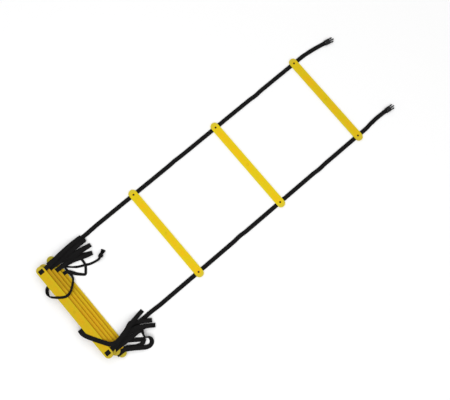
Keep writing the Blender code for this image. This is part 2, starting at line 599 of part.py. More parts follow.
def build():
    clear_scene()
    yellow = make_material("rung_yellow", (0.78, 0.55, 0.02), 0.42)
    black = make_material("webbing_black", (0.012, 0.011, 0.012), 0.85)
    grey = make_material("buckle_black", (0.02, 0.02, 0.021), 0.45)

    # The ladder's frame stands so that the middle of its rigid pieces' box is the origin
    pile_left = min(x for x, _ in pile_offsets) - half_width
    level_end = rung_places[2] + half_width + tail_travel + fit_gap
    forward = buckle_base_length - bar_diameter / 2 + guide_length
    tips = []
    for headings in (left_tail_headings, right_tail_headings):
        dx, _, turn = tail_frame(headings, tail_length)
        tips.append(level_end + dx + forward * math.cos(turn))
    pile_low_end = min(y for _, y in pile_offsets) - rung_length / 2
    pile_high_end = rung_length / 2
    centre_x = (pile_left + max(tips)) / 2
    centre_y = (pile_low_end + pile_high_end) / 2
    ladder = bpy.data.objects.new("ladder", None)
    ladder.location = (-centre_x, -centre_y, 0)
    bpy.context.scene.collection.objects.link(ladder)
    base = (ladder, (0, 0, 0))
    fold_places = [(fold_1_place, 0, pile_fold_height), (fold_2_place, 0, under_fold_height),
                   (fold_3_place, 0, over_fold_height)]
    spans = []
    for number, place in enumerate(fold_places, 1):
        empty = add_empty("fold_%d_axis" % number, place, ladder, (0, 0, 0))
        spans.append((empty, place))

    slat = rung_mesh(yellow)
    for number, (x, y) in enumerate(pile_offsets, 1):
        bottom = (number - 1) * layer_height
        if number == 1:
            add_object("piled_rung_1", slat, base, (x, y, bottom))
        else:
            # the gathered rungs lie with their slotted side up
            add_object("piled_rung_%d" % number, slat, base, (x, y, bottom + rung_thickness),
                       (0, math.pi, 0))
    for number, x in enumerate(rung_places, 1):
        add_object("rung_%d" % number, slat, spans[number - 1], (x, 0, 0))

    body_mesh, arm_meshes, front = buckle_meshes(grey)
    for word, side, headings in (("left", 1, left_tail_headings), ("right", -1, right_tail_headings)):
        y = half_gauge * side
        cuts = [fit_gap / 2, fold_1_place, fold_2_place, fold_3_place]
        names = ["pile_span", "rung_1_span", "rung_2_span"]
        for i, part_name in enumerate(names):
            name = "strap_%s_%s" % (word, part_name)
            x_start = cuts[i] if i == 0 else cuts[i] + fit_gap / 2
            route = straight_route(x_start, cuts[i + 1] - fit_gap / 2, y)
            holder = base if i == 0 else spans[i - 1]
            mesh = ribbon_mesh(name, route, strap_width, strap_thickness, black)
            add_object(name, mesh, holder)
        route, level_end, bar_height = tail_route(side, headings)
        name = "strap_%s_tail_span" % word
        add_object(name, ribbon_mesh(name, route, strap_width, strap_thickness, black), spans[2])
        dx, dy, turn = tail_frame(headings, tail_length)
        bar_place = (level_end + dx, y + dy, bar_height)
        add_object("buckle_%s_body" % word, body_mesh, spans[2], bar_place, (0, 0, turn))
        for arm, arm_side in (("outer", side), ("inner", -side)):
            along = front + arm_root_gap
            off = arm_half_spread * arm_root_share * arm_side
            place = (bar_place[0] + along * math.cos(turn) - off * math.sin(turn),
                     bar_place[1] + along * math.sin(turn) + off * math.cos(turn), bar_height)
            name = "buckle_%s_%s_arm" % (word, arm)
            add_object(name, arm_meshes[arm_side], spans[2], place, (0, 0, turn))

    for name, route in loop_routes.items():
        side = 1 if name.startswith("loop_left") else -1
        mesh = ribbon_mesh(name, beside_strap(route, side), strap_width, strap_thickness, black)
        add_object(name, mesh, base)
        print(name, "length", round(route_length(route), 4))
    binding = beside_strap(binding_route, -1)
    tape = beside_strap(tape_route, 1)
    knot_x, knot_y, knot_z = knot_place
    knot_spot = (knot_x, knot_y + half_gauge, knot_z)
    add_object("binding_strap", ribbon_mesh("binding_strap", binding, strap_width,
                                            strap_thickness, black), base)
    add_object("tie_tape", ribbon_mesh("tie_tape", tape, tape_width, tape_thickness, black), base)
    add_object("tie_knot", knot_mesh(black), base, knot_spot, (0, 0, knot_angle))
    print("binding_strap length", round(route_length(binding), 4))
    print("tie_tape length", round(route_length(tape), 4))
    bpy.context.view_layer.update()


build()
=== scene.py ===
import math
import bpy
import bmesh
from mathutils import Matrix, Vector


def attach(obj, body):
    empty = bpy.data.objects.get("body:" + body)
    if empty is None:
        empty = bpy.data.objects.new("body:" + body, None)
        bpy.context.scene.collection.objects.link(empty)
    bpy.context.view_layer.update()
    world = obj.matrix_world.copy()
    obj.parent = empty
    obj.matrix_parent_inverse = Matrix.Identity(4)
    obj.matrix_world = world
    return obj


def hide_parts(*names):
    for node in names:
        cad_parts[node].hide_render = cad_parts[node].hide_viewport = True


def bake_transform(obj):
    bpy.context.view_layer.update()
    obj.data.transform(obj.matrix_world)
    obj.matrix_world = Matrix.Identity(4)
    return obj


# Agility ladder: webbing, ties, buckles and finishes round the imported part. Metres, +Z up.
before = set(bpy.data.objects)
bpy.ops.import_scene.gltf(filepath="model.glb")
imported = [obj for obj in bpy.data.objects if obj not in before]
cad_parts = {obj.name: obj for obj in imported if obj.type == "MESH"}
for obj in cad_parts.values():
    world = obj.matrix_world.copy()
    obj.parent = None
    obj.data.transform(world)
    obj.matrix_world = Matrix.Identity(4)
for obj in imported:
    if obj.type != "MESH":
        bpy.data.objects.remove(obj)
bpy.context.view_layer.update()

# where the ladder's own frame (middle of the lowest piled slat) stands in the row frame
ladder = {
    "pileX": -0.66163,
    "middleY": 0.019,
    "strapLine": 0.189,          # from the ladder's middle to each strap
    "slatX": (0.385, 0.79, 1.195),
    "slatHalfWidth": 0.016,
    "foldX": (0.1925, 0.5875, 0.9925),
    "sides": {"left": 1, "right": -1},
}

webbing = {
    "width": 0.0164,
    "thickness": 0.0014,
    "widths": [(0.0, 1.0)],      # the same width all along
    "tunnelHeight": 0.0019,      # middle of the webbing inside a slat
    "floorGap": 0.00005,
    "ringSpacing": 0.0022,
    "bendStep": 0.12,            # most that it turns from ring to ring, in radians
    "levelShare": 0.45,          # a band that stands steeper keeps the way across that it has
    "sideSmoothing": 8,
    "sharpFrom": 50.0,
    # a quarter of its section, from the edge, in shares of half the width and thickness
    "section": [(1.0, 0.0), (0.985, 0.55), (0.93, 0.9), (0.84, 1.0), (0.74, 0.95), (0.4, 0.97),
                (0.0, 1.0)],
}


def inRow(point, side=0):
    # from the ladder's frame, or a strap line's, to the row frame
    return Vector((point[0] + ladder["pileX"],
                   point[1] + ladder["middleY"] + ladder["strapLine"] * side, point[2]))


def addObject(name, data):
    ob = bpy.data.objects.new(name, data)
    bpy.context.scene.collection.objects.link(ob)
    return ob


# camera, as fitted to the photograph
cameraFit = {
    "place": (-0.32233, -0.1883, 2.2465),
    "right": (0.7585, -0.6495, 0.0538),
    "back": (-0.1304, -0.0704, 0.989),
    "focal": 600.0,              # in pixels of a 450 wide picture
    "sensor": 36.0,
    "pictureWidth": 450.0,
}


def addCamera():
    right = Vector(cameraFit["right"]).normalized()
    back = Vector(cameraFit["back"])
    back = (back - right * back.dot(right)).normalized()
    turn = Matrix((right, back.cross(right), back)).transposed()
    data = bpy.data.cameras.new("photoCamera")
    data.sensor_width = cameraFit["sensor"]
    data.lens = cameraFit["focal"] / cameraFit["pictureWidth"] * cameraFit["sensor"]
    camera = addObject("photoCamera", data)
    camera.matrix_world = Matrix.Translation(cameraFit["place"]) @ turn.to_4x4()
    bpy.context.scene.camera = camera


addCamera()
print("camera placed")


# routes
def throughPoints(a, b, c, d, t):
    return 0.5 * (2 * b + (c - a) * t + (2 * a - 5 * b + 4 * c - d) * t * t
                  + (3 * b - a - 3 * c + d) * t * t * t)


def smoothRoute(route, spacing):
    # a smooth curve through given points: x, y, z and, where it leans, a roll in degrees
    points = [Vector(p[:3]) for p in route]
    rolls = [math.radians(p[3]) if len(p) > 3 else 0.0 for p in route]
    points = [points[0] * 2 - points[1]] + points + [points[-1] * 2 - points[-2]]
    rolls = [rolls[0]] + rolls + [rolls[-1]]
    places, turns = [], []
    for i in range(1, len(points) - 2):
        steps = max(1, math.ceil((points[i + 1] - points[i]).length / spacing))
        before = (points[i] - points[i - 1]).angle(points[i + 1] - points[i], 0)
        after = (points[i + 1] - points[i]).angle(points[i + 2] - points[i + 1], 0)
        steps = max(steps, math.ceil(max(before, after) / webbing["bendStep"]))
        for k in range(steps):
            places.append(throughPoints(*points[i - 1:i + 3], k / steps))
            turns.append(throughPoints(*rolls[i - 1:i + 3], k / steps))
    places.append(points[-2])
    turns.append(rolls[-1])
    return places, turns


def acrossVectors(places):
    # level across the band, kept where the route stands upright in a fold
    tangents = []
    for behind, ahead in zip(places[:1] + places, places[1:] + places[-1:]):
        tangents.append((ahead - behind).normalized())
    sides, last = [], None
    for tangent in tangents:
        flat = Vector((-tangent.y, tangent.x, 0))
        if flat.length > webbing["levelShare"] or last is None:
            flat.normalize()
            if last is not None and flat.dot(last) < 0:
                flat.negate()
            last = flat
        sides.append(last.copy())
    for _ in range(webbing["sideSmoothing"]):
        middle = [(sides[i - 1] + sides[i] * 2 + sides[i + 1]).normalized()
                  for i in range(1, len(sides) - 1)]
        sides = [sides[0]] + middle + [sides[-1]]
    return tangents, sides


def valueAt(pairs, x):
    # eases between given (place, value) pairs
    for (x0, v0), (x1, v1) in zip(pairs, pairs[1:]):
        if x <= x1:
            t = max(0.0, (x - x0) / (x1 - x0))
            return v0 + (v1 - v0) * t * t * (3 - 2 * t)
    return pairs[-1][1]


def wholeSection():
    quarter = webbing["section"]
    half = [(-v, h) for v, h in quarter] + quarter[-2::-1]
    return half + [(v, -h) for v, h in reversed(half[1:-1])]


def smoothShaded(mesh, sharpFrom):
    mesh.shade_smooth()
    mesh.set_sharp_from_angle(angle=math.radians(sharpFrom))
    return mesh


def bandMesh(name, places, turns, band):
    # a woven band: rounded selvedges, UVs in metres along and round the section
    halfWidth, halfThickness = band["width"] / 2, band["thickness"] / 2
    whole = sum((b - a).length for a, b in zip(places, places[1:]))
    section = wholeSection()
    girth = [0.0]
    for (v0, h0), (v1, h1) in zip(section, section[1:] + section[:1]):
        girth.append(girth[-1] + math.hypot((v1 - v0) * halfWidth, (h1 - h0) * halfThickness))
    tangents, sides = acrossVectors(places)
    verts, along, travelled = [], [], 0.0
    for i, (place, tangent, side, turn) in enumerate(zip(places, tangents, sides, turns)):
        across = (side - tangent * side.dot(tangent)).normalized()
        across = Matrix.Rotation(turn, 3, tangent) @ across
        up = tangent.cross(across).normalized()
        if i:
            travelled += (place - places[i - 1]).length
        along.append(travelled)
        share = valueAt(band["widths"], travelled / whole)
        for v, h in section:
            verts.append(place + across * (v * halfWidth * share) + up * (h * halfThickness))
    count = len(section)
    faces, uvs = [], []
    for i in range(len(places) - 1):
        here, after = count * i, count * (i + 1)
        for k in range(count):
            j = (k + 1) % count
            faces.append((here + k, after + k, after + j, here + j))
            uvs += [(along[i], girth[k]), (along[i + 1], girth[k]),
                    (along[i + 1], girth[k + 1]), (along[i], girth[k + 1])]
    last = count * (len(places) - 1)
    faces += [tuple(range(count)), tuple(last + k for k in reversed(range(count)))]
    uvs += [(0.0, g) for g in girth[:-1]] + [(along[-1], g) for g in girth[-2::-1]]
    mesh = bpy.data.meshes.new(name)
    mesh.from_pydata([tuple(v) for v in verts], [], faces)
    layer = mesh.uv_layers.new(name="weave")
    for loop, uv in zip(layer.data, uvs):
        loop.uv = uv
    mesh.validate()
    work = bmesh.new()
    work.from_mesh(mesh)
    bmesh.ops.recalc_face_normals(work, faces=work.faces)
    work.to_mesh(mesh)
    work.free()
    return smoothShaded(mesh, webbing["sharpFrom"]), travelled


def addPiece(name, mesh, material):
    mesh.materials.clear()
    mesh.materials.append(material)
    return addObject(name, mesh)


# shader effects
def newGroup(name, vectors, colours, numbers):
    # gives a colour, a roughness and a relief from its named inputs
    tree = bpy.data.node_groups.new(name, "ShaderNodeTree")
    for way, kind, labels in (("INPUT", "Vector", vectors), ("INPUT", "Color", colours),
                              ("INPUT", "Float", numbers), ("OUTPUT", "Color", ["Color"]),
                              ("OUTPUT", "Float", ["Roughness", "Height"])):
        for label in labels:
            tree.interface.new_socket(label, in_out=way, socket_type="NodeSocket" + kind)
    return tree, tree.nodes.new("NodeGroupInput").outputs


def closedGroup(tree, *found):
    for socket, value in zip(tree.nodes.new("NodeGroupOutput").inputs, found):
        feed(socket, value)
    return tree


def feed(socket, value):
    # a number, a colour or what another node gives
    if isinstance(value, (int, float)):
        socket.default_value = value
    elif isinstance(value, tuple):
        socket.default_value = (*value, 1.0)
    else:
        socket.id_data.links.new(value, socket)


def calculate(operation, a, b=None, clamp=False):
    node = a.id_data.nodes.new("ShaderNodeMath")
    node.operation = operation
    node.use_clamp = clamp
    feed(node.inputs[0], a)
    if b is not None:
        feed(node.inputs[1], b)
    return node.outputs[0]


def times(a, b):
    return calculate("MULTIPLY", a, b)


def plus(a, b, clamp=False):
    return calculate("ADD", a, b, clamp)


def noise(vector, *numbers):
    node = vector.id_data.nodes.new("ShaderNodeTexNoise")
    feed(node.inputs["Vector"], vector)
    for label, number in zip(("Scale", "Detail", "Roughness"), numbers):
        feed(node.inputs[label], number)
    return node.outputs["Fac"]


def stretched(vector, scale, turn):
    node = vector.id_data.nodes.new("ShaderNodeMapping")
    node.inputs["Scale"].default_value = scale
    node.inputs["Rotation"].default_value = (0.0, 0.0, turn)
    feed(node.inputs["Vector"], vector)
    return node.outputs[0]


def mixColours(factor, a, b, blend="MIX"):
    node = factor.id_data.nodes.new("ShaderNodeMix")
    node.data_type = "RGBA"
    node.blend_type = blend
    for index, value in ((0, factor), (6, a), (7, b)):
        feed(node.inputs[index], value)
    return node.outputs[2]


def spread(value, low, high, toLow=0.0, toHigh=1.0):
    node = value.id_data.nodes.new("ShaderNodeMapRange")
    node.clamp = True
    for socket, given in zip(node.inputs, (value, low, high, toLow, toHigh)):
        feed(socket, given)
    return node.outputs["Result"]


def separated(vector):
    node = vector.id_data.nodes.new("ShaderNodeSeparateXYZ")
    feed(node.inputs[0], vector)
    return node.outputs


# each pattern's scale on metres, detail and roughness; the last two take their finish's scale
patterns = {
    "lint": (900.0, 4.0, 0.6),
    "wear": (55.0, 3.0, 0.5),
    "mottle": (160.0, 3.0, 0.6),
    "scratches": (520.0, 5.0, 0.62),
    "flow": (420.0, 3.0, 0.5),
    "patches": (2.5, 0.55),
    "grain": (2.0, 0.5),
}
# the scales that draw a pattern out, and its turn in radians
stretches = {"scratches": ((1.0, 0.16, 1.0), 0.35), "flow": ((1.0, 0.06, 1.0), 0.0)}
# how soft the weave's waves are
wavePowers = {"pick": 0.7, "column": 0.4}
# from where to where a pattern, a slat's mark or its painted shade fades, and its worth at both, else 0
# and 1; marks are in metres, but the side's in half widths, the painted shade round the pin holes in
# pin radii, the gate's in its own
fades = {
    "lint": (0.55, 0.75),
    "wornLint": (0.35, 0.75, 0.15, 0.7),
    "wornGloss": (0.3, 0.7, 0.62, 0.85),
    "tones": (0.36, 0.64),
    "dust": (0.3, 0.7, 0.5, 0),
    "scratches": (0.6, 0.72),
    "scuffs": (0.4, 0.65),
    "flow": (0.3, 0.7, 0.45, 0.9),
    "side": (0.35, 1),
    "underSlatShade": (-0.0005, 0.0092, 0.55, 0),
    "coveredEnd": (0.18, 0.198, 1, 0),
    "shaded": (0, 0.025, 0, 0.17),
    "shadedEnd": (0.188, 0.202, 1, 0),
    "pastPin": (-0.002, 0.007),
    "roundPin": (0.006, 0.012, 0, 0.85),
    "pinHoleShade": (1.55, 2.2, 0.95, 0),
    "gateRing": (0.08, 0.24, 1, 0),
    "gateDot": (0.2, 0.34, 1, 0),
}
# how much each adds to the roughness or the relief, and how dark the gate mark is
shares = {"pickRelief": 0.85, "lintRelief": 0.15, "grainRelief": 0.6, "mottleRelief": 0.4,
          "scuffRelief": 0.5, "mottleGloss": 0.12, "scuffGloss": 0.35, "flowGloss": 0.06,
          "gateDark": 0.22}


def faded(value, name):
    return spread(value, *fades[name])


def shareOf(value, name):
    return times(value, shares[name])


def buildWeaveGroup():
    # chevron webbing: slanted picks that turn over at each rib, from UVs in metres
    tree, given = newGroup("webbingWeave", ["UV"], ["Yarn", "Gap", "Lint"],
                           ["Pick length", "Rib width", "Slant"])
    along, around, _ = separated(given["UV"])
    ribs = calculate("DIVIDE", around, given["Rib width"])
    fold = calculate("PINGPONG", ribs, 1.0)
    picks = calculate("DIVIDE", along, given["Pick length"])
    slanted = plus(picks, times(fold, given["Slant"]))
    wave = calculate("SINE", times(slanted, 2 * math.pi))
    pick = plus(times(wave, 0.5), 0.5)
    edge = calculate("ABSOLUTE", calculate("SINE", times(ribs, math.pi)))
    column = calculate("POWER", edge, wavePowers["column"])
    height = times(calculate("POWER", pick, wavePowers["pick"]), column)
    lint = noise(given["UV"], *patterns["lint"])
    wear = noise(given["UV"], *patterns["wear"])
    # the valleys between the picks take the darker gap colour: painted shade in the weave
    colour = mixColours(height, given["Gap"], given["Yarn"])
    worn = times(faded(lint, "lint"), faded(wear, "wornLint"))
    colour = mixColours(times(worn, height), colour, given["Lint"])
    relief = plus(shareOf(height, "pickRelief"), shareOf(lint, "lintRelief"))
    return closedGroup(tree, colour, faded(wear, "wornGloss"), relief)


plasticColours = ["Tone A", "Tone B", "Scuff"]
plasticNumbers = ["Patch scale", "Grain scale", "Scuff amount", "Gloss"]


def buildMouldedGroup():
    # moulded plastic: slow tone shifts, fine surface grain, scuffs and a little dust
    tree, given = newGroup("mouldedPlastic", ["Vector"], plasticColours, plasticNumbers)
    vector = given["Vector"]
    patches = noise(vector, given["Patch scale"], *patterns["patches"])
    grain = noise(vector, given["Grain scale"], *patterns["grain"])
    mottle = noise(vector, *patterns["mottle"])
    colour = mixColours(faded(patches, "tones"), given["Tone A"], given["Tone B"])
    dust = (0.88, 0.87, 0.85)
    colour = mixColours(faded(mottle, "dust"), colour, dust, "MULTIPLY")
    scratch = noise(stretched(vector, *stretches["scratches"]), *patterns["scratches"])
    scuffed = times(faded(scratch, "scratches"), given["Scuff amount"])
    scuffed = times(scuffed, faded(mottle, "scuffs"))
    colour = mixColours(scuffed, colour, given["Scuff"])
    rough = plus(given["Gloss"], shareOf(mottle, "mottleGloss"))
    rough = plus(rough, shareOf(scuffed, "scuffGloss"), clamp=True)
    relief = plus(shareOf(grain, "grainRelief"), shareOf(mottle, "mottleRelief"))
    relief = calculate("SUBTRACT", relief, shareOf(scuffed, "scuffRelief"))
    return closedGroup(tree, colour, rough, relief)


def buildSlatGroup(moulded):
    # moulded plastic with a slat's own marks (paler long sides with flow lines, a faint gate mark) and
    # painted shade: under the slat that lies on it, where the bundle lies, at its round ends, tinted
    # olive, and round its pin holes
    tree, given = newGroup(
        "slatPlastic", ["Vector", "Middle"],
        plasticColours + ["Side tone", "Painted shade tone", "Under-slat shade tone", "End tone"],
        plasticNumbers + ["Under-slat shade to", "Shaded from", "Half width", "Gauge", "Pin radius",
                          "Gate radius"])
    base = tree.nodes.new("ShaderNodeGroup")
    base.node_tree = moulded
    for label in ["Vector"] + plasticColours + plasticNumbers:
        feed(base.inputs[label], given[label])
    fromMiddle = tree.nodes.new("ShaderNodeVectorMath")
    fromMiddle.operation = "SUBTRACT"
    feed(fromMiddle.inputs[0], given["Vector"])
    feed(fromMiddle.inputs[1], given["Middle"])
    x, y, _ = separated(fromMiddle.outputs[0])
    across, along = calculate("ABSOLUTE", x), calculate("ABSOLUTE", y)

    def distanceFrom(offset):
        return calculate("SQRT", plus(times(across, across), times(offset, offset)))

    flow = noise(stretched(given["Vector"], *stretches["flow"]), *patterns["flow"])
    share = calculate("DIVIDE", across, given["Half width"])
    side = times(faded(share, "side"), faded(flow, "flow"))
    # painted shade where another slat of the pile lies on this one, from the given place of that slat's
    # edge
    beyond = calculate("SUBTRACT", x, given["Under-slat shade to"])
    underSlatShade = times(faded(beyond, "underSlatShade"), faded(along, "coveredEnd"))
    # painted shade where the bundle lies over the pile, in the same dark colour
    inBundle = calculate("SUBTRACT", y, given["Shaded from"])
    shade = times(faded(inBundle, "shaded"), faded(along, "shadedEnd"))
    # painted shade, tinted olive, on the round ends past the pins
    pastPin = calculate("SUBTRACT", along, given["Gauge"])
    pinWay = distanceFrom(pastPin)
    endShade = times(faded(pastPin, "pastPin"), faded(pinWay, "roundPin"))
    # painted shade round the pin holes; the faint gate mark in the middle takes a little of the same
    # dark colour
    pinHoleShade = faded(calculate("DIVIDE", pinWay, given["Pin radius"]), "pinHoleShade")
    gateShare = calculate("DIVIDE", distanceFrom(along), given["Gate radius"])
    ring = calculate("ABSOLUTE", calculate("SUBTRACT", gateShare, 1.0))
    gate = calculate("MAXIMUM", faded(ring, "gateRing"), faded(gateShare, "gateDot"))
    dark = calculate("MAXIMUM", pinHoleShade, shareOf(gate, "gateDark"))
    # mixed in turn: paler long sides, then painted shade under another slat, where the bundle lies, at
    # the round ends, and round the pin holes with the gate mark
    colour = base.outputs["Color"]
    for mask, label in ((side, "Side"), (underSlatShade, "Under-slat shade"), (shade, "Painted shade"), (endShade, "End"),
                        (dark, "Painted shade")):
        colour = mixColours(mask, colour, given[label + " tone"])
    rough = plus(base.outputs["Roughness"], shareOf(flow, "flowGloss"))
    relief = calculate("SUBTRACT", base.outputs["Height"], gate)
    return closedGroup(tree, colour, rough, relief)


weaveGroup = buildWeaveGroup()
mouldedGroup = buildMouldedGroup()
slatGroup = buildSlatGroup(mouldedGroup)

# for each finish its effect with that one's values, its relief in metres, refraction and shine
finishes = {
    "slat": {
        "effect": slatGroup, "relief": 0.00012, "refraction": 1.49, "shine": 0.11,
        # the three darkest tones here, for the pin holes and the bundle, under another slat and at the
        # round ends, are colours of painted shade
        "values": {"Tone A": (0.83, 0.51, 0.004), "Tone B": (0.74, 0.555, 0.005),
                   "Side tone": (0.7, 0.59, 0.008), "Painted shade tone": (0.036, 0.015, 0.001),
                   "Under-slat shade tone": (0.57, 0.265, 0.002), "End tone": (0.63, 0.51, 0.03),
                   "Scuff": (0.8, 0.64, 0.08), "Patch scale": 22.0, "Grain scale": 1400.0,
                   "Scuff amount": 0.3, "Gloss": 0.42, "Under-slat shade to": -1.0, "Shaded from": 1.0,
                   "Half width": ladder["slatHalfWidth"], "Gauge": ladder["strapLine"],
                   "Pin radius": 0.0021, "Gate radius": 0.004},
    },
    "buckle": {
        "effect": mouldedGroup, "relief": 0.00008, "refraction": 1.5, "shine": 0.22,
        "values": {"Tone A": (0.0075, 0.0075, 0.008), "Tone B": (0.0105, 0.0105, 0.011),
                   "Scuff": (0.06, 0.06, 0.06), "Patch scale": 60.0, "Grain scale": 2600.0,
                   "Scuff amount": 0.5, "Gloss": 0.26},
    },
    "strap": {
        "effect": weaveGroup, "relief": 0.0003, "refraction": 1.4, "shine": 0.16,
        "values": {"Pick length": 0.0017, "Rib width": 0.0025, "Slant": 0.9,
                   "Yarn": (0.0085, 0.0078, 0.008), "Gap": (0.002, 0.002, 0.002),
                   "Lint": (0.03, 0.029, 0.03)},
    },
    "tape": {
        "effect": weaveGroup, "relief": 0.00018, "refraction": 1.4, "shine": 0.16,
        "values": {"Pick length": 0.0012, "Rib width": 0.0013, "Slant": 0.5,
                   "Yarn": (0.008, 0.0072, 0.0076), "Gap": (0.002, 0.002, 0.002),
                   "Lint": (0.028, 0.028, 0.029)},
    },
    "thread": {
        "effect": weaveGroup, "relief": 0.00008, "refraction": 1.45, "shine": 0.2,
        "values": {"Pick length": 0.0008, "Rib width": 0.0009, "Slant": 0.7,
                   "Yarn": (0.022, 0.021, 0.022), "Gap": (0.006, 0.006, 0.006),
                   "Lint": (0.06, 0.06, 0.062)},
    },
}
reliefStrength = 0.6


def newMaterial(name, finishName, changes=()):
    # the effect gives colour, roughness and relief; the shader itself stays here
    finish = finishes[finishName]
    mat = bpy.data.materials.new(name)
    mat.use_nodes = True
    tree = mat.node_tree
    shader = tree.nodes["Principled BSDF"]
    effect = tree.nodes.new("ShaderNodeGroup")
    effect.node_tree = finish["effect"]
    for label, value in {**finish["values"], **dict(changes)}.items():
        colour = effect.inputs[label].type == "RGBA"
        effect.inputs[label].default_value = (*value, 1.0) if colour else value
    if effect.node_tree == weaveGroup:
        source = tree.nodes.new("ShaderNodeUVMap")
        source.uv_map = "weave"
        feed(effect.inputs["UV"], source.outputs["UV"])
    else:
        source = tree.nodes.new("ShaderNodeTexCoord")
        feed(effect.inputs["Vector"], source.outputs["Object"])
    feed(shader.inputs["Base Color"], effect.outputs["Color"])
    feed(shader.inputs["Roughness"], effect.outputs["Roughness"])
    relief = tree.nodes.new("ShaderNodeBump")
    feed(relief.inputs["Distance"], finish["relief"])
    feed(relief.inputs["Strength"], reliefStrength)
    feed(relief.inputs["Height"], effect.outputs["Height"])
    feed(shader.inputs["Normal"], relief.outputs["Normal"])
    feed(shader.inputs["IOR"], finish["refraction"])
    feed(shader.inputs["Specular IOR Level"], finish["shine"])
    return mat


buckleBlack = newMaterial("buckleBlack", "buckle")
strapBlack = newMaterial("strapBlack", "strap")
tapeBlack = newMaterial("tapeBlack", "tape")
threadBlack = newMaterial("threadBlack", "thread")
print("finishes made")


